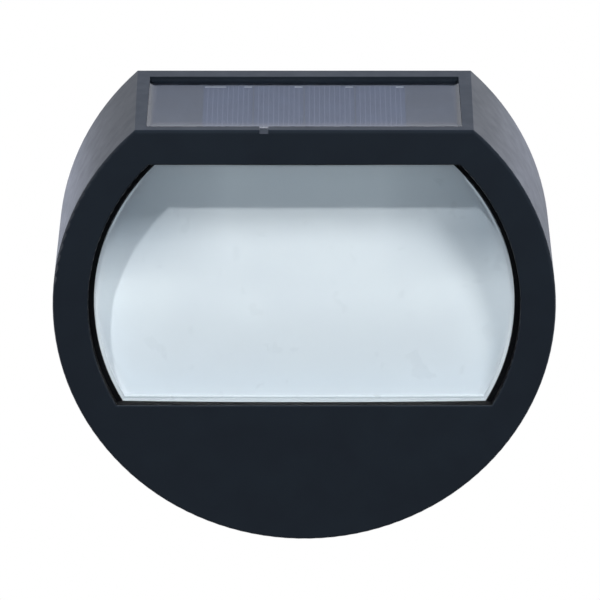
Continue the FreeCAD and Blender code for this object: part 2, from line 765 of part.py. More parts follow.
def make_battery_door():
    door = rounded_plate(door_half_x, door_half_z, battery_z, door_inner_y, 0, door_corner_round)
    rib_half = trough_half_z - door_rib_end_gap
    for side in (-1, 1):
        x = side * door_rib_spacing
        door = door.fuse(box(x - door_rib_thickness / 2, x + door_rib_thickness / 2,
                             door_rib_tip_y, door_inner_y, battery_z - rib_half, battery_z + rib_half))
    for side in (-1, 1):
        x = side * door_screw_x
        door = door.cut(rod(small_screw_radius + hole_clearance, x, battery_z, door_inner_y, 1))
        door = door.cut(rod(small_screw_head_radius + hole_clearance, x, battery_z,
                            door_screw_head_y, 1))
    return door


def make_door_gasket():
    corner = door_corner_round - door_gasket_inset
    gap = door_gasket_to_trough
    outer = rounded_plate(door_half_x - door_gasket_inset, door_half_z - door_gasket_inset, battery_z,
                          door_seat_y, door_inner_y, corner)
    inner = rounded_plate(trough_half_x + gap, trough_half_z + gap, battery_z, door_seat_y, door_inner_y,
                          corner / 2)
    ring = outer.cut(inner)
    for side in (-1, 1):
        ring = ring.cut(rod(small_screw_radius + hole_clearance, side * door_screw_x, battery_z,
                            door_seat_y, door_inner_y))
    return ring


def make_door_screws():
    tip_y = door_seat_y - door_screw_reach + door_screw_tip_gap
    return [screw(side * door_screw_x, battery_z, door_screw_head_y, tip_y, small_screw_radius,
                  small_screw_head_radius, small_screw_head_height) for side in (-1, 1)]


# ------------------------------------------------------------------ control board
def board_screw_places():
    x = board_half_width - board_screw_inset
    return [(side * x, z) for side in (-1, 1)
            for z in (board_bottom + board_screw_inset, board_top - board_screw_inset)]


def make_control_board():
    board = box(-board_half_width, board_half_width, board_front_y, board_rear_y, board_bottom, board_top)
    for x, z in board_screw_places():
        board = board.cut(rod(small_screw_radius + hole_clearance, x, z, board_front_y, board_rear_y))
    return board


def make_board_screws():
    return [screw(x, z, board_front_y, cover_inner_y - board_screw_tip_gap, small_screw_radius,
                  small_screw_head_radius, small_screw_head_height) for x, z in board_screw_places()]


def make_driver_chip():
    half = chip_size / 2
    z = board_middle + chip_above_middle
    chip = box(-half, half, board_front_y - chip_height, board_front_y - chip_standoff, z - half, z + half)
    for row in range(legs_per_side):
        leg_z = z + (row - (legs_per_side - 1) / 2) * leg_pitch
        for side in (-1, 1):
            near = side * (half - chip_standoff)
            far = near + side * leg_length
            chip = chip.fuse(box(min(near, far), max(near, far), board_front_y - leg_height, board_front_y,
                                 leg_z - leg_width / 2, leg_z + leg_width / 2))
    return chip


def make_inductor():
    return rod(inductor_radius, inductor_x, board_middle + inductor_above_middle,
               board_front_y - inductor_height, board_front_y)


def make_capacitor():
    can = rod(capacitor_radius, capacitor_x, board_middle, board_front_y - capacitor_height, board_front_y)
    return can.makeFillet(edge_softness, edges_at_y(can, board_front_y - capacitor_height))


def make_switch_body():
    body = box(-switch_length / 2, switch_length / 2, board_rear_y, switch_top_y,
               switch_z - switch_width / 2, switch_z + switch_width / 2)
    return body.cut(slider_slot(slider_clearance, switch_top_y - slider_slot_depth, switch_top_y))


def make_switch_slider():
    middle = -switch_travel / 2
    knob = box(middle - slider_length / 2, middle + slider_length / 2,
               switch_top_y - slider_slot_depth + slider_clearance, -slider_below_back,
               switch_z - slider_width / 2, switch_z + slider_width / 2)
    for step in (-1, 0, 1):
        x = middle + step * slider_length / 4
        knob = knob.cut(box(x - grip_groove / 2, x + grip_groove / 2,
                            -slider_below_back - grip_groove_depth, 0,
                            switch_z - slider_width, switch_z + slider_width))
    return knob


def make_switch_seal():
    ring = box(-switch_length / 2, switch_length / 2, switch_top_y, cover_inner_y,
               switch_z - switch_width / 2, switch_z + switch_width / 2)
    return ring.cut(slider_slot(2 * slider_clearance, switch_top_y, cover_inner_y))


# -------------------------------------------------------------------------- leads
def lead(start, first_bend, pad_x, pad_z):
    # insulated wire from start, past the first bend, square onto its pad on the board
    return tube([start, first_bend, (pad_x, board_front_y - lead_drop, pad_z),
                 (pad_x, board_front_y, pad_z)], wire_radius)


def solar_lead(side):
    x = grommet_x + side * wire_spacing / 2
    return lead((x, grommet_y, substrate_bottom), (x, grommet_y, substrate_bottom - solar_lead_fall),
                solar_pad_x + side * pad_spacing / 2, board_top - pad_inset)


def led_lead(side):
    x = side * pad_spacing / 2
    y = led_board_y + led_board_width
    z = dish_roof_top + led_board_thickness / 2
    return lead((x, y, z), (x, y + led_lead_run, z), x, board_top - pad_inset)


def battery_lead(side):
    x = side * (trough_half_x - contact_thickness / 2)
    y = trough_floor_y - trough_wall - contact_tab_length
    return lead((x, y, battery_z), (x, y - battery_lead_run, battery_z),
                side * battery_pad_x, board_bottom + pad_inset)


# ------------------------------------------------------------------------- export
pieces = {
    "front_housing": make_front_housing(),
    "lens": make_lens(),
    "lens_bead": make_lens_bead(),
    "reflector": make_reflector(),
    "reflector_screws": make_reflector_screws(),
    "led_board": make_led_board(),
    "leds": make_leds(),
    "panel_adhesive": make_panel_adhesive(),
    "panel_substrate": make_panel_substrate(),
    "solar_cells": make_solar_cells(),
    "cell_busbars": make_cell_busbars(),
    "panel_resin": make_panel_resin(),
    "lead_grommet": make_lead_grommet(),
    "back_cover": make_back_cover(),
    "cover_gasket": make_cover_gasket(),
    "cover_screws": make_cover_screws(),
    "battery_cell": make_battery_cell(),
    "battery_spring": make_battery_spring(),
    "contact_negative": make_contact(-1),
    "contact_positive": make_contact(1),
    "battery_door": make_battery_door(),
    "door_gasket": make_door_gasket(),
    "door_screws": make_door_screws(),
    "control_board": make_control_board(),
    "board_screws": make_board_screws(),
    "driver_chip": make_driver_chip(),
    "inductor": make_inductor(),
    "capacitor": make_capacitor(),
    "switch_body": make_switch_body(),
    "switch_slider": make_switch_slider(),
    "switch_seal": make_switch_seal(),
    "solar_lead_red": solar_lead(1),
    "solar_lead_black": solar_lead(-1),
    "led_lead_red": led_lead(1),
    "led_lead_black": led_lead(-1),
    "battery_lead_red": battery_lead(1),
    "battery_lead_black": battery_lead(-1),
}

os.makedirs("parts", exist_ok=True)
for name, shape in pieces.items():
    solid = Part.makeCompound(shape) if isinstance(shape, list) else shape
    solid.exportStep("parts/" + name + ".step")
    count = len(solid.Solids)
    print(name, "solids", count, "volume", round(solid.Volume, 2), "valid", solid.isValid())
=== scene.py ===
import math
import bmesh
import bpy
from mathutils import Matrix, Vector


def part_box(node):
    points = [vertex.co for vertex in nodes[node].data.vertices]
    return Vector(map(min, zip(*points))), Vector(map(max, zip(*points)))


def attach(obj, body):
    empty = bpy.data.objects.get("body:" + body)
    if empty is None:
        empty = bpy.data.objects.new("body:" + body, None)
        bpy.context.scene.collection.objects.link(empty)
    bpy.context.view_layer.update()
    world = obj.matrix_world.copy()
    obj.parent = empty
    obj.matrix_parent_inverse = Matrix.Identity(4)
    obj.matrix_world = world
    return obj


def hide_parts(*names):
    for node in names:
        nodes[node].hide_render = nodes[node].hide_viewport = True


# Solar fence light: a resin-covered panel in its flat top, and a clear window over a white dish in its face.
# All is in the CAD model's own frame. The camera's place and the studio are in metres, and the sizes in the
# finishes and the clear copies are in millimetres.

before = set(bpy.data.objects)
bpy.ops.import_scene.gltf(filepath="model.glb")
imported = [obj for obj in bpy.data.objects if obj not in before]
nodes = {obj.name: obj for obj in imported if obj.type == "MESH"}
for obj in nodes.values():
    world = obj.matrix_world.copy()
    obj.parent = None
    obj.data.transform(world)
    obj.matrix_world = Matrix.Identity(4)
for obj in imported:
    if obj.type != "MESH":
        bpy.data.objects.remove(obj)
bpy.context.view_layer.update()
scene = bpy.context.scene
scene.view_settings.view_transform = "Standard"
print("frame loaded,", len(nodes), "nodes")


# camera: straight at the front, 21 degrees down, a long lens from 1.55 m
cameraLook = {
    "lens": 360.5,
    "sensor": 36.0,
    "place": (0.0, -1.4970, 0.5566),
    "target": (0.0, -0.0494, 0.0),
    "shiftX": -0.00707,
    "shiftY": 0.01365,
    "nearest": 0.1,
    "farthest": 50.0,
}


def makeCamera(look):
    cameraData = bpy.data.cameras.new("photoCamera")
    cameraData.lens = look["lens"]
    cameraData.sensor_width = look["sensor"]
    cameraData.shift_x = look["shiftX"]
    cameraData.shift_y = look["shiftY"]
    cameraData.clip_start = look["nearest"]
    cameraData.clip_end = look["farthest"]
    camera = bpy.data.objects.new("photoCamera", cameraData)
    camera.location = look["place"]
    sight = Vector(look["target"]) - Vector(look["place"])
    camera.rotation_euler = sight.to_track_quat("-Z", "Y").to_euler()
    scene.collection.objects.link(camera)
    scene.camera = camera


makeCamera(cameraLook)
print("camera placed")


# colours and nodes
noiseSpan = (0.3, 0.7)   # a noise texture seldom leaves this span


def linearColour(hexCode):
    # an sRGB hex code made linear, with an alpha of 1
    parts = [int(hexCode[i:i + 2], 16) / 255 for i in (1, 3, 5)]
    return [c / 12.92 if c <= 0.04045 else ((c + 0.055) / 1.055) ** 2.4 for c in parts] + [1.0]


def perMetre(millimetres):
    # texture scale for a feature of that size
    return 1000.0 / millimetres


def addNode(tree, kind, values):
    # values holds the node's own settings, then its sockets: a number, a hex colour or another node's socket
    node = tree.nodes.new("ShaderNode" + kind)
    for name, value in values.items():
        if name == "ramp":
            stops = node.color_ramp.elements
            while len(stops) < len(value):
                stops.new(0.5)
            for stop, (place, hexCode) in zip(stops, value):
                stop.position = place
                stop.color = linearColour(hexCode)
        elif isinstance(value, bpy.types.NodeSocket):
            tree.links.new(value, node.inputs[name])
        elif isinstance(name, str) and hasattr(node, name):
            setattr(node, name, value)
        else:
            node.inputs[name].default_value = linearColour(value) if isinstance(value, str) else value
    return node


def newFinish(name):
    finish = bpy.data.materials.new(name)
    finish.use_nodes = True
    finish.node_tree.nodes.clear()
    return finish, finish.node_tree


def endFinish(tree, shader):
    addNode(tree, "OutputMaterial", {"Surface": shader})


# floor and studio: white behind and below, dim in front, so that the black face stays dark
studioLook = {
    "white": "#ffffff",   # what the camera sees of the floor and the sky
    "floorHeight": -0.30,
    "floorFront": -0.04,
    "floorHalfWidth": 4.0,
    "floorBack": 7.0,
    "floorColour": "#e8e9eb",   # as the floor lights the object
    "floorSheen": "#e9effe",   # as shiny and clear pieces show the floor
    "backSky": ((0.0, "#f6f9ff"), (0.22, "#eef3ff"), (0.32, "#d8e3fb"),   # 0 is level, 1 overhead
                (0.52, "#98a5bf"), (0.75, "#687387"), (1.0, "#555c69")),
    "sideLean": 0.35,   # how much brighter the back sky is at the far right, and darker at the far left
    "frontTint": "#e2e8f6",
    "frontLow": 0.12,
    "frontHigh": 0.24,
    "frontRise": (-0.6, 0.8),   # from frontLow to frontHigh, -1 is straight down and 1 overhead
    "frontToBack": (-0.25, 0.30),   # -1 is straight in front of the light and 1 straight behind it
    "lampAim": (0.0, -0.04, 0.02),
    # name, azimuth from the front, elevation, distance, disc size, watts, colour, seen in shiny skins
    "lamps": (("keyLeft", -21.0, 48.5, 2.0, 0.07, 20.3, "#fffdfa", False),
              ("keyRight", 30.0, 54.0, 2.0, 0.38, 28.5, "#fffdfa", False),
              ("frontFill", 0.0, 16.0, 2.0, 1.3, 7.2, "#dcf5ff", False),
              ("edgeLeft", -160.0, -14.0, 0.8, 0.14, 0.08, "#dfe6ff", True),
              ("edgeRight", 160.0, -9.5, 0.8, 0.14, 0.06, "#dfe6ff", True)),
}


def makeFloor(look):
    floorMesh = bpy.data.meshes.new("floor")
    bm = bmesh.new()
    bmesh.ops.create_grid(bm, x_segments=1, y_segments=1, size=1.0)
    depth = look["floorBack"] - look["floorFront"]
    bmesh.ops.scale(bm, vec=(look["floorHalfWidth"], depth / 2, 1.0), verts=bm.verts)
    bmesh.ops.translate(bm, vec=(0.0, look["floorFront"] + depth / 2, look["floorHeight"]), verts=bm.verts)
    bm.to_mesh(floorMesh)
    bm.free()
    floor = bpy.data.objects.new("floor", floorMesh)
    scene.collection.objects.link(floor)
    paper, tree = newFinish("paperFloor")
    rays = addNode(tree, "LightPath", {})
    seen = addNode(tree, "Math", {"operation": "MAXIMUM", 0: rays.outputs["Is Camera Ray"],
                                  1: rays.outputs["Is Glossy Ray"]})
    seen = addNode(tree, "Math", {"operation": "MAXIMUM", 0: seen.outputs[0],
                                  1: rays.outputs["Is Transmission Ray"]})
    matt = addNode(tree, "BsdfDiffuse", {"Color": look["floorColour"]})
    shown = addNode(tree, "Mix", {"data_type": "RGBA", 0: rays.outputs["Is Camera Ray"],
                                  6: look["floorSheen"], 7: look["white"]})
    bright = addNode(tree, "Emission", {"Color": shown.outputs[2], "Strength": 1.0})
    both = addNode(tree, "MixShader", {0: seen.outputs[0], 1: matt.outputs[0], 2: bright.outputs[0]})
    endFinish(tree, both.outputs[0])
    floorMesh.materials.append(paper)


def makeSky(look):
    world = bpy.data.worlds.new("softStudio")
    scene.world = world
    world.use_nodes = True
    tree = world.node_tree
    tree.nodes.clear()
    way = addNode(tree, "TexCoord", {})
    axes = addNode(tree, "SeparateXYZ", {0: way.outputs["Generated"]})
    backTint = addNode(tree, "ValToRGB", {"ramp": look["backSky"], 0: axes.outputs["Z"]})
    back = addNode(tree, "Math", {"operation": "MULTIPLY_ADD", 0: axes.outputs["X"],
                                  1: look["sideLean"], 2: 1.0})
    front = addNode(tree, "MapRange", {"Value": axes.outputs["Z"], "From Min": look["frontRise"][0],
                                       "From Max": look["frontRise"][1], "To Min": look["frontLow"],
                                       "To Max": look["frontHigh"]})
    turn = addNode(tree, "MapRange", {"interpolation_type": "SMOOTHSTEP", "Value": axes.outputs["Y"],
                                      "From Min": look["frontToBack"][0], "From Max": look["frontToBack"][1]})
    light = addNode(tree, "Mix", {"data_type": "FLOAT", 0: turn.outputs[0], 2: front.outputs[0],
                                  3: back.outputs[0]})
    rays = addNode(tree, "LightPath", {})
    seen = addNode(tree, "Math", {"operation": "MAXIMUM", 0: rays.outputs["Is Camera Ray"],
                                  1: rays.outputs["Is Transmission Ray"]})
    level = addNode(tree, "Mix", {"data_type": "FLOAT", 0: seen.outputs[0], 2: light.outputs[0], 3: 1.0})
    tint = addNode(tree, "Mix", {"data_type": "RGBA", 0: turn.outputs[0], 6: look["frontTint"],
                                 7: backTint.outputs[0]})
    tint = addNode(tree, "Mix", {"data_type": "RGBA", 0: seen.outputs[0], 6: tint.outputs[2],
                                 7: look["white"]})
    sky = addNode(tree, "Background", {"Color": tint.outputs[2], "Strength": level.outputs[0]})
    addNode(tree, "OutputWorld", {"Surface": sky.outputs[0]})


def makeLamps(look):
    for name, azimuth, elevation, distance, size, power, tone, shiny in look["lamps"]:
        lampData = bpy.data.lights.new(name, "AREA")
        lampData.color = linearColour(tone)[:3]
        lampData.shape = "DISK"
        lampData.size = size
        lampData.energy = power
        lamp = bpy.data.objects.new(name, lampData)
        lamp.visible_glossy = shiny
        lamp.visible_camera = False
        around = math.radians(azimuth)
        up = math.radians(elevation)
        out = Vector((math.sin(around) * math.cos(up), -math.cos(around) * math.cos(up), math.sin(up)))
        lamp.location = Vector(look["lampAim"]) + out * distance
        lamp.rotation_euler = out.to_track_quat("Z", "Y").to_euler()
        scene.collection.objects.link(lamp)


makeFloor(studioLook)
makeSky(studioLook)
makeLamps(studioLook)
print("studio lit")


# opaque mouldings: colour drifts a little with the flow of the plastic, the skin carries a fine grain
hazeShare = 0.4   # patches of rougher skin, as a share of the drift's size
plasticIor = 1.5
# the well is the groove round the window. Its nearly black colour is painted shade, as the photograph shows
# the groove that dark, and it is made fully rough too. It is nearly black because the photograph shows it
# so, and what makes the real one that dark isn't known
blackAbs = {"name": "mouldedBlackAbs", "base": "#181e26", "drift": "#1a2129", "driftSize": 9.0,
            "roughLow": 0.40, "roughHigh": 0.46, "grain": 0.8, "grainDepth": 0.010,   # satin, spark-eroded
            "paintedShadeWell": {"radius": 56.1, "low": -27.4, "high": 39.7, "front": 0.35, "back": 4.4,
                     "colour": "#08090b", "rough": 1.0}}
# the dish is taken as one white all over. Shade is painted into its colour here, greyer down its slope and in
# its upper corners, to follow the photograph's shading, which the lamps don't give: slope and upper are
# heights, and corner is how far out from the middle
whiteAbs = {"name": "mouldedWhiteAbs", "base": "#eef2f6", "drift": "#f2f6f9", "driftSize": 14.0,
            "roughLow": 0.26, "roughHigh": 0.36, "grain": 1.2, "grainDepth": 0.004,   # half gloss, cool white
            "paintedShade": {"slope": (-2.0, -27.0), "slopeShadeTone": "#d2d7dc",
                       "upper": (2.0, 16.0), "corner": (20.0, 46.0), "cornerShadeTone": "#b4bdc6"}}
siliconeRubber = {"name": "blackSilicone", "base": "#141416", "drift": "#1d1d20", "driftSize": 4.0,
                  "roughLow": 0.55, "roughHigh": 0.75, "grain": 0.5, "grainDepth": 0.010}   # soft and matt
foamTape = {"name": "blackFoamTape", "base": "#1b1b1c", "drift": "#2a2a2c", "driftSize": 1.2,
            "roughLow": 0.85, "roughHigh": 0.95, "grain": 0.7, "grainDepth": 0.060}   # open cells, no shine
switchNylon = {"name": "glassFilledNylon", "base": "#17181a", "drift": "#222326", "driftSize": 2.0,
               "roughLow": 0.48, "roughHigh": 0.60, "grain": 0.4, "grainDepth": 0.010}   # dulled by fibres
sliderAcetal = {"name": "greyAcetal", "base": "#8b8d8f", "drift": "#979a9c", "driftSize": 3.0,
                "roughLow": 0.30, "roughHigh": 0.42, "grain": 0.5, "grainDepth": 0.004}   # waxy half gloss
redPvc = {"name": "redPvc", "base": "#b3191c", "drift": "#a11216", "driftSize": 5.0,
          "roughLow": 0.32, "roughHigh": 0.45, "grain": 0.6, "grainDepth": 0.004}   # extruded, half gloss
blackPvc = {"name": "blackPvc", "base": "#17171a", "drift": "#202024", "driftSize": 5.0,
            "roughLow": 0.32, "roughHigh": 0.45, "grain": 0.6, "grainDepth": 0.004}   # as the red one
chipMoulding = {"name": "blackChipEpoxy", "base": "#161617", "drift": "#202022", "driftSize": 0.8,
                "roughLow": 0.60, "roughHigh": 0.75, "grain": 0.25, "grainDepth": 0.006}   # stony matt
ferrite = {"name": "sinteredFerrite", "base": "#3a3b3f", "drift": "#47484c", "driftSize": 0.6,
           "roughLow": 0.55, "roughHigh": 0.70, "grain": 0.3, "grainDepth": 0.012}   # grey ceramic


def insideWell(tree, place, paintedShadeWell):
    # 1 in a short round well behind the front face, cut flat above and below, else 0: where the groove's
    # painted shade goes
    axes = addNode(tree, "SeparateXYZ", {0: place})
    flat = addNode(tree, "CombineXYZ", {0: axes.outputs["X"], 1: axes.outputs["Z"]})
    reach = addNode(tree, "VectorMath", {"operation": "LENGTH", 0: flat.outputs[0]})
    inside = addNode(tree, "Math", {"operation": "LESS_THAN", 0: reach.outputs["Value"],
                                    1: paintedShadeWell["radius"] / 1000}).outputs[0]
    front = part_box("front_housing")[0].y
    bounds = ((axes.outputs["Y"], front + paintedShadeWell["front"] / 1000, front + paintedShadeWell["back"] / 1000),
              (axes.outputs["Z"], paintedShadeWell["low"] / 1000, paintedShadeWell["high"] / 1000))
    for value, low, high in bounds:
        above = addNode(tree, "Math", {"operation": "GREATER_THAN", 0: value, 1: low})
        below = addNode(tree, "Math", {"operation": "LESS_THAN", 0: value, 1: high})
        both = addNode(tree, "Math", {"operation": "MULTIPLY", 0: above.outputs[0], 1: below.outputs[0]})
        inside = addNode(tree, "Math", {"operation": "MULTIPLY", 0: inside, 1: both.outputs[0]}).outputs[0]
    return inside


def paintedShadeTone(tree, place, colour, paintedShade):
    # painted shade: greyer down the slope, and towards both sides of the upper part
    axes = addNode(tree, "SeparateXYZ", {0: place})
    side = addNode(tree, "Math", {"operation": "ABSOLUTE", 0: axes.outputs["X"]})
    down = addNode(tree, "MapRange", {"Value": axes.outputs["Z"], "From Min": paintedShade["slope"][0] / 1000,
                                      "From Max": paintedShade["slope"][1] / 1000})
    high = addNode(tree, "MapRange", {"Value": axes.outputs["Z"], "From Min": paintedShade["upper"][0] / 1000,
                                      "From Max": paintedShade["upper"][1] / 1000})
    out = addNode(tree, "MapRange", {"Value": side.outputs[0], "From Min": paintedShade["corner"][0] / 1000,
                                     "From Max": paintedShade["corner"][1] / 1000})
    corner = addNode(tree, "Math", {"operation": "MULTIPLY", 0: out.outputs[0], 1: high.outputs[0]})
    for much, tone in ((down, paintedShade["slopeShadeTone"]), (corner, paintedShade["cornerShadeTone"])):
        mixed = addNode(tree, "Mix", {"data_type": "RGBA", 0: much.outputs[0], 6: colour, 7: tone})
        colour = mixed.outputs[2]
    return colour


def mouldedFinish(look):
    finish, tree = newFinish(look["name"])
    place = addNode(tree, "TexCoord", {}).outputs["Object"]
    flow = addNode(tree, "TexNoise", {"Vector": place, "Scale": perMetre(look["driftSize"]), "Detail": 3.0})
    tint = addNode(tree, "ValToRGB", {"ramp": list(zip(noiseSpan, (look["base"], look["drift"]))),
                                      0: flow.outputs[0]})
    haze = addNode(tree, "TexNoise", {"Vector": place, "Scale": perMetre(look["driftSize"] * hazeShare),
                                      "Detail": 5.0})
    rough = addNode(tree, "MapRange", {"Value": haze.outputs[0], "From Min": noiseSpan[0],
                                       "From Max": noiseSpan[1], "To Min": look["roughLow"],
                                       "To Max": look["roughHigh"]})
    grain = addNode(tree, "TexNoise", {"Vector": place, "Scale": perMetre(look["grain"]), "Detail": 2.0})
    skin = addNode(tree, "Bump", {"Height": grain.outputs[0], "Strength": 1.0,
                                  "Distance": look["grainDepth"] / 1000})
    colour = tint.outputs[0]
    roughness = rough.outputs[0]
    # the dish's painted shade, greyer down its slope and in its upper corners
    if "paintedShade" in look:
        colour = paintedShadeTone(tree, place, colour, look["paintedShade"])
    # painted shade in the groove round the window: nearly black and fully rough
    if "paintedShadeWell" in look:
        inside = insideWell(tree, place, look["paintedShadeWell"])
        colour = addNode(tree, "Mix", {"data_type": "RGBA", 0: inside, 6: colour,
                                       7: look["paintedShadeWell"]["colour"]}).outputs[2]
        roughness = addNode(tree, "Mix", {"data_type": "FLOAT", 0: inside, 2: roughness,
                                          3: look["paintedShadeWell"]["rough"]}).outputs[0]
    plastic = addNode(tree, "BsdfPrincipled", {"Base Color": colour, "Roughness": roughness,
                                               "IOR": plasticIor, "Normal": skin.outputs[0]})
    endFinish(tree, plastic.outputs[0])
    return finish


# clear pieces let the lamps' light straight through, so what lies under them stays lit
clearPolycarbonate = {"name": "clearPolycarbonate", "tint": "#fafcfd", "ior": 1.585, "rough": 0.02,
                      "wave": 18.0, "waveDepth": 0.02}   # polished tool, very slight sink
castEpoxy = {"name": "clearCastEpoxy", "tint": "#f3f7fb", "ior": 1.5, "rough": 0.09,
             "wave": 9.0, "waveDepth": 0.008}   # poured, a little hazy and uneven
curedSilicone = {"name": "clearSiliconeBead", "tint": "#e4e9ec", "ior": 1.41, "rough": 0.25,
                 "wave": 1.5, "waveDepth": 0.05}   # cured bead, hazy


def clearFinish(look):
    finish, tree = newFinish(look["name"])
    place = addNode(tree, "TexCoord", {}).outputs["Object"]
    swell = addNode(tree, "TexNoise", {"Vector": place, "Scale": perMetre(look["wave"]), "Detail": 1.0})
    skin = addNode(tree, "Bump", {"Height": swell.outputs[0], "Strength": 1.0,
                                  "Distance": look["waveDepth"] / 1000})
    clear = addNode(tree, "BsdfPrincipled", {"Base Color": look["tint"], "Roughness": look["rough"],
                                             "IOR": look["ior"], "Transmission Weight": 1.0,
                                             "Normal": skin.outputs[0]})
    through = addNode(tree, "BsdfTransparent", {"Color": look["tint"]})
    rays = addNode(tree, "LightPath", {})
    straight = addNode(tree, "Math", {"operation": "MAXIMUM", 0: rays.outputs["Is Shadow Ray"],
                                      1: rays.outputs["Is Diffuse Ray"]})
    both = addNode(tree, "MixShader", {0: straight.outputs[0], 1: clear.outputs[0], 2: through.outputs[0]})
    endFinish(tree, both.outputs[0])
    return finish


# bright metals: turned or rolled, drawn with a fine grain and a soft haze
stainSpan = (0.35, 0.8)   # where in the haze the stain sets in, and where it is whole
zincPlate = {"name": "zincPlatedSteel", "base": "#c9ccd0", "stain": "#a4a9b1", "haze": 2.5,
             "roughLow": 0.22, "roughHigh": 0.36, "grain": 0.35, "grainDepth": 0.004}   # bright, bluish
nickelPlate = {"name": "nickelPlatedSteel", "base": "#cfcac2", "stain": "#b3ada4", "haze": 2.5,
               "roughLow": 0.18, "roughHigh": 0.32, "grain": 0.30, "grainDepth": 0.004}   # warmer, glossier
tinnedCopper = {"name": "tinnedCopper", "base": "#a6abb3", "stain": "#8d929b", "haze": 2.5,
                "roughLow": 0.36, "roughHigh": 0.50, "grain": 0.50, "grainDepth": 0.004}   # dull grey


def metalFinish(look):
    finish, tree = newFinish(look["name"])
    place = addNode(tree, "TexCoord", {}).outputs["Object"]
    haze = addNode(tree, "TexNoise", {"Vector": place, "Scale": perMetre(look["haze"]), "Detail": 4.0})
    tint = addNode(tree, "ValToRGB", {"ramp": list(zip(stainSpan, (look["base"], look["stain"]))),
                                      0: haze.outputs[0]})
    rough = addNode(tree, "MapRange", {"Value": haze.outputs[0], "From Min": noiseSpan[0],
                                       "From Max": noiseSpan[1], "To Min": look["roughLow"],
                                       "To Max": look["roughHigh"]})
    grain = addNode(tree, "TexNoise", {"Vector": place, "Scale": perMetre(look["grain"]), "Detail": 1.0})
    skin = addNode(tree, "Bump", {"Height": grain.outputs[0], "Strength": 1.0,
                                  "Distance": look["grainDepth"] / 1000})
    metal = addNode(tree, "BsdfPrincipled", {"Base Color": tint.outputs[0], "Roughness": rough.outputs[0],
                                             "Metallic": 1.0, "Normal": skin.outputs[0]})
    endFinish(tree, metal.outputs[0])
    return finish


# solar cells: dark blue coated silicon with printed silver finger lines from front to back. The cells are
# lighter than real ones, and the lines wider and duller, so that both show
siliconCell = {"name": "coatedSilicon", "base": "#2d3243", "drift": "#313749", "crystal": 6.0,
               "crystalSpan": (0.2, 0.8), "rough": 0.4, "specular": 0.1,
               "finger": "#515768", "fingerPitch": 1.32, "fingerCore": 0.08, "fingerFoot": 0.2133}


def siliconFinish(look):
    finish, tree = newFinish(look["name"])
    place = addNode(tree, "TexCoord", {}).outputs["Object"]
    crystal = addNode(tree, "TexVoronoi", {"Vector": place, "Scale": perMetre(look["crystal"])})
    tint = addNode(tree, "ValToRGB", {"ramp": list(zip(look["crystalSpan"], (look["base"], look["drift"]))),
                                      0: crystal.outputs["Distance"]})
    axes = addNode(tree, "SeparateXYZ", {0: place})
    near = addNode(tree, "Math", {"operation": "PINGPONG", 0: axes.outputs["X"],
                                  1: look["fingerPitch"] / 2000})
    # a line has its full tone over its core and fades to nothing at its foot
    line = addNode(tree, "MapRange", {"Value": near.outputs[0], "From Min": look["fingerCore"] / 2000,
                                      "From Max": look["fingerFoot"] / 2000, "To Min": 1.0, "To Max": 0.0})
    lined = addNode(tree, "Mix", {"data_type": "RGBA", 0: line.outputs[0], 6: tint.outputs[0],
                                  7: look["finger"]})
    cell = addNode(tree, "BsdfPrincipled", {"Base Color": lined.outputs[2], "Roughness": look["rough"],
                                            "Specular IOR Level": look["specular"]})
    endFinish(tree, cell.outputs[0])
    return finish


# boards: glass-fibre laminate under a coloured mask, with copper tracks that show through it
panelBoard = {"name": "darkMaskLaminate", "base": "#14171f", "track": "#191d26", "trackSize": 14.0,
              "rough": 0.35}
controlBoard = {"name": "greenMaskLaminate", "base": "#0f5a2c", "track": "#2c8a4a", "trackSize": 4.0,
                "rough": 0.3}
lampBoard = {"name": "whiteMaskLaminate", "base": "#e9e9e4", "track": "#dcdcd2", "trackSize": 5.0,
             "rough": 0.4}
trackForm = {"uneven": 0.7, "edge": (0.08, 0.14), "height": 0.03, "relief": 0.6}   # edge: shares of trackSize


def boardFinish(look):
    finish, tree = newFinish(look["name"])
    place = addNode(tree, "TexCoord", {}).outputs["Object"]
    routes = addNode(tree, "TexVoronoi", {"feature": "DISTANCE_TO_EDGE", "Vector": place,
                                          "Scale": perMetre(look["trackSize"]),
                                          "Randomness": trackForm["uneven"]})
    edge = addNode(tree, "MapRange", {"Value": routes.outputs[0], "From Min": trackForm["edge"][0],
                                      "From Max": trackForm["edge"][1]})
    tint = addNode(tree, "Mix", {"data_type": "RGBA", 0: edge.outputs[0], 6: look["track"], 7: look["base"]})
    skin = addNode(tree, "Bump", {"invert": True, "Height": edge.outputs[0], "Strength": trackForm["relief"],
                                  "Distance": trackForm["height"] / 1000})
    board = addNode(tree, "BsdfPrincipled", {"Base Color": tint.outputs[2], "Roughness": look["rough"],
                                             "Normal": skin.outputs[0]})
    endFinish(tree, board.outputs[0])
    return finish


# lamps: white package with a round yellow phosphor window on its lower face, and on its hidden upper one too
ledLamp = {"name": "phosphorLamp", "package": "#efeee8", "phosphor": "#e3b73c", "pitch": 12.0, "window": 1.1,
           "rough": 0.35}


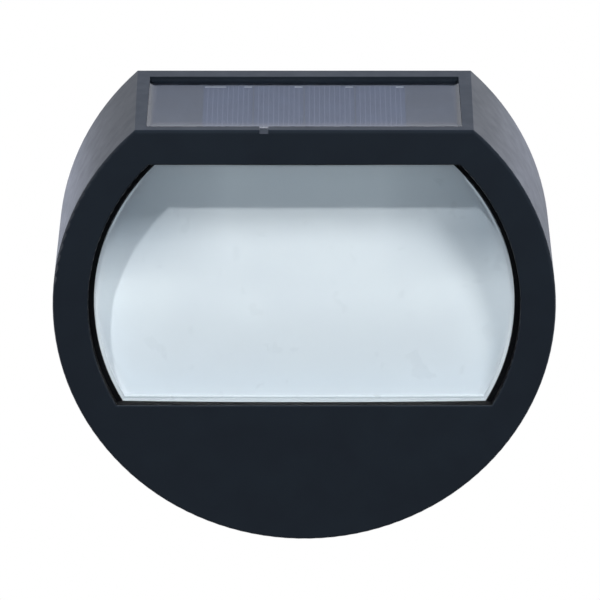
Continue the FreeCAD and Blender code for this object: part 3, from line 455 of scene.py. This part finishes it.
def ledFinish(look):
    finish, tree = newFinish(look["name"])
    place = addNode(tree, "TexCoord", {}).outputs["Object"]
    axes = addNode(tree, "SeparateXYZ", {0: place})
    shifted = addNode(tree, "Math", {"operation": "ADD", 0: axes.outputs["X"], 1: look["pitch"] / 2000})
    near = addNode(tree, "Math", {"operation": "PINGPONG", 0: shifted.outputs[0], 1: look["pitch"] / 2000})
    low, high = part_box("leds")
    deep = addNode(tree, "Math", {"operation": "SUBTRACT", 0: axes.outputs["Y"], 1: (low.y + high.y) / 2})
    flat = addNode(tree, "CombineXYZ", {0: near.outputs[0], 1: deep.outputs[0]})
    reach = addNode(tree, "VectorMath", {"operation": "LENGTH", 0: flat.outputs[0]})
    inside = addNode(tree, "Math", {"operation": "LESS_THAN", 0: reach.outputs["Value"],
                                    1: look["window"] / 1000})
    tint = addNode(tree, "Mix", {"data_type": "RGBA", 0: inside.outputs[0], 6: look["package"],
                                 7: look["phosphor"]})
    lamp = addNode(tree, "BsdfPrincipled", {"Base Color": tint.outputs[2], "Roughness": look["rough"]})
    endFinish(tree, lamp.outputs[0])
    return finish


# battery cell: plain green shrink sleeve over a steel can, bare steel at both ends
cellSleeve = {"name": "greenShrinkSleeve", "sleeve": "#1f7a4a", "fold": "#196a3f", "steel": "#c4c6c8",
              "bareEnd": 1.2, "crease": 3.0, "creaseDepth": 0.03, "relief": 0.5, "rough": 0.28}


def sleeveFinish(look, piece):
    finish, tree = newFinish(look["name"])
    place = addNode(tree, "TexCoord", {}).outputs["Object"]
    axes = addNode(tree, "SeparateXYZ", {0: place})
    low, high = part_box(piece)
    middle = (low.x + high.x) / 2
    half = (high.x - low.x) / 2 - look["bareEnd"] / 1000
    off = addNode(tree, "Math", {"operation": "SUBTRACT", 0: axes.outputs["X"], 1: middle})
    away = addNode(tree, "Math", {"operation": "ABSOLUTE", 0: off.outputs[0]})
    bare = addNode(tree, "Math", {"operation": "GREATER_THAN", 0: away.outputs[0], 1: half})
    creases = addNode(tree, "TexNoise", {"Vector": place, "Scale": perMetre(look["crease"]), "Detail": 3.0})
    film = addNode(tree, "ValToRGB", {"ramp": list(zip(noiseSpan, (look["sleeve"], look["fold"]))),
                                      0: creases.outputs[0]})
    tint = addNode(tree, "Mix", {"data_type": "RGBA", 0: bare.outputs[0], 6: film.outputs[0],
                                 7: look["steel"]})
    skin = addNode(tree, "Bump", {"Height": creases.outputs[0], "Strength": look["relief"],
                                  "Distance": look["creaseDepth"] / 1000})
    cell = addNode(tree, "BsdfPrincipled", {"Base Color": tint.outputs[2], "Metallic": bare.outputs[0],
                                            "Roughness": look["rough"], "Normal": skin.outputs[0]})
    endFinish(tree, cell.outputs[0])
    return finish


# capacitor: dark sleeve with one pale stripe, bare aluminium on its rounded end
capacitorCan = {"name": "sleevedAluminium", "sleeve": "#1b2440", "stripe": "#c3c6cc", "can": "#cfd1d4",
                "stripeWidth": 1.6, "bareTop": 0.5, "rough": 0.32}


def capacitorFinish(look, piece):
    finish, tree = newFinish(look["name"])
    place = addNode(tree, "TexCoord", {}).outputs["Object"]
    axes = addNode(tree, "SeparateXYZ", {0: place})
    low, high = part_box(piece)
    side = addNode(tree, "Math", {"operation": "SUBTRACT", 0: axes.outputs["Z"], 1: (low.z + high.z) / 2})
    wide = addNode(tree, "Math", {"operation": "ABSOLUTE", 0: side.outputs[0]})
    inStripe = addNode(tree, "Math", {"operation": "LESS_THAN", 0: wide.outputs[0],
                                      1: look["stripeWidth"] / 2000})
    left = addNode(tree, "Math", {"operation": "LESS_THAN", 0: axes.outputs["X"], 1: (low.x + high.x) / 2})
    stripe = addNode(tree, "Math", {"operation": "MULTIPLY", 0: inStripe.outputs[0], 1: left.outputs[0]})
    bare = addNode(tree, "Math", {"operation": "LESS_THAN", 0: axes.outputs["Y"],
                                  1: low.y + look["bareTop"] / 1000})
    sleeve = addNode(tree, "Mix", {"data_type": "RGBA", 0: stripe.outputs[0], 6: look["sleeve"],
                                   7: look["stripe"]})
    tint = addNode(tree, "Mix", {"data_type": "RGBA", 0: bare.outputs[0], 6: sleeve.outputs[2],
                                 7: look["can"]})
    can = addNode(tree, "BsdfPrincipled", {"Base Color": tint.outputs[2], "Metallic": bare.outputs[0],
                                           "Roughness": look["rough"]})
    endFinish(tree, can.outputs[0])
    return finish


# a clear piece that touches its neighbours gets a copy, shrunk about its middle by a small gap on each side:
# rays would otherwise miss the neighbour's face where two lie in one plane
castPanel = {"node": "panel_resin", "name": "castResinTop", "slot": "clear_epoxy", "gap": 0.03,
             "open": (0, 0, 1)}   # its open side faces up
sealBead = {"node": "lens_bead", "name": "lensSealBead", "slot": "clear_adhesive", "gap": 0.03,
            "open": None}   # its open side faces the middle of the ring
# openCosine: a face is open above this cosine to its way. sharpAngle, in radians: edges up to it are smooth
copyForm = {"weld": 0.001, "openCosine": 0.2, "sharpAngle": 0.5}


def bondFinish():
    # where the clear piece wets its neighbour nothing reflects, so that side only lets light by
    finish, tree = newFinish("bondedResin")
    endFinish(tree, addNode(tree, "BsdfTransparent", {"Color": "#ffffff"}).outputs[0])
    return finish


def makeClearCopy(look, finish, bond):
    bm = bmesh.new()
    bm.from_mesh(nodes[look["node"]].data)
    bmesh.ops.remove_doubles(bm, verts=bm.verts, dist=copyForm["weld"] / 1000)
    bmesh.ops.recalc_face_normals(bm, faces=bm.faces)
    low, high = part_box(look["node"])
    middle = (low + high) / 2
    span = high - low
    factor = [1 - 2 * look["gap"] / 1000 / s for s in span]
    bmesh.ops.translate(bm, vec=-middle, verts=bm.verts)
    bmesh.ops.scale(bm, vec=factor, verts=bm.verts)
    bmesh.ops.translate(bm, vec=middle, verts=bm.verts)
    for face in bm.faces:
        openWay = Vector(look["open"]) if look["open"] else (middle - face.calc_center_median()).normalized()
        face.material_index = 0 if face.normal.dot(openWay) > copyForm["openCosine"] else 1
        face.smooth = face.material_index == 0
    for edge in bm.edges:
        edge.smooth = edge.calc_face_angle(0.0) < copyForm["sharpAngle"]
    mesh = bpy.data.meshes.new(look["name"])
    bm.to_mesh(mesh)
    bm.free()
    mesh.materials.append(finish)
    mesh.materials.append(bond)
    piece = bpy.data.objects.new(look["name"], mesh)
    scene.collection.objects.link(piece)
    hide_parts(look["node"])
    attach(piece, "light_body")


def dress(finish, *names):
    for name in names:
        mesh = nodes[name].data
        mesh.materials.clear()
        mesh.materials.append(finish)


dress(mouldedFinish(blackAbs), "front_housing", "back_cover", "battery_door")
dress(clearFinish(clearPolycarbonate), "lens")
bondedResin = bondFinish()
makeClearCopy(castPanel, clearFinish(castEpoxy), bondedResin)
makeClearCopy(sealBead, clearFinish(curedSilicone), bondedResin)
print("case, window and clear copies done")

dress(mouldedFinish(whiteAbs), "reflector")
dress(metalFinish(zincPlate), "reflector_screws", "cover_screws", "door_screws", "board_screws")
dress(metalFinish(nickelPlate), "battery_spring", "contact_negative", "contact_positive")
dress(metalFinish(tinnedCopper), "cell_busbars")
dress(siliconFinish(siliconCell), "solar_cells")
dress(boardFinish(panelBoard), "panel_substrate")
dress(boardFinish(controlBoard), "control_board")
dress(boardFinish(lampBoard), "led_board")
dress(ledFinish(ledLamp), "leds")
dress(mouldedFinish(foamTape), "panel_adhesive")
dress(mouldedFinish(siliconeRubber), "lead_grommet", "cover_gasket", "door_gasket", "switch_seal")
dress(sleeveFinish(cellSleeve, "battery_cell"), "battery_cell")
dress(mouldedFinish(chipMoulding), "driver_chip")
dress(mouldedFinish(ferrite), "inductor")
dress(capacitorFinish(capacitorCan, "capacitor"), "capacitor")
dress(mouldedFinish(switchNylon), "switch_body")
dress(mouldedFinish(sliderAcetal), "switch_slider")
dress(mouldedFinish(redPvc), "solar_lead_red", "led_lead_red", "battery_lead_red")
dress(mouldedFinish(blackPvc), "solar_lead_black", "led_lead_black", "battery_lead_black")
print("finishes on")
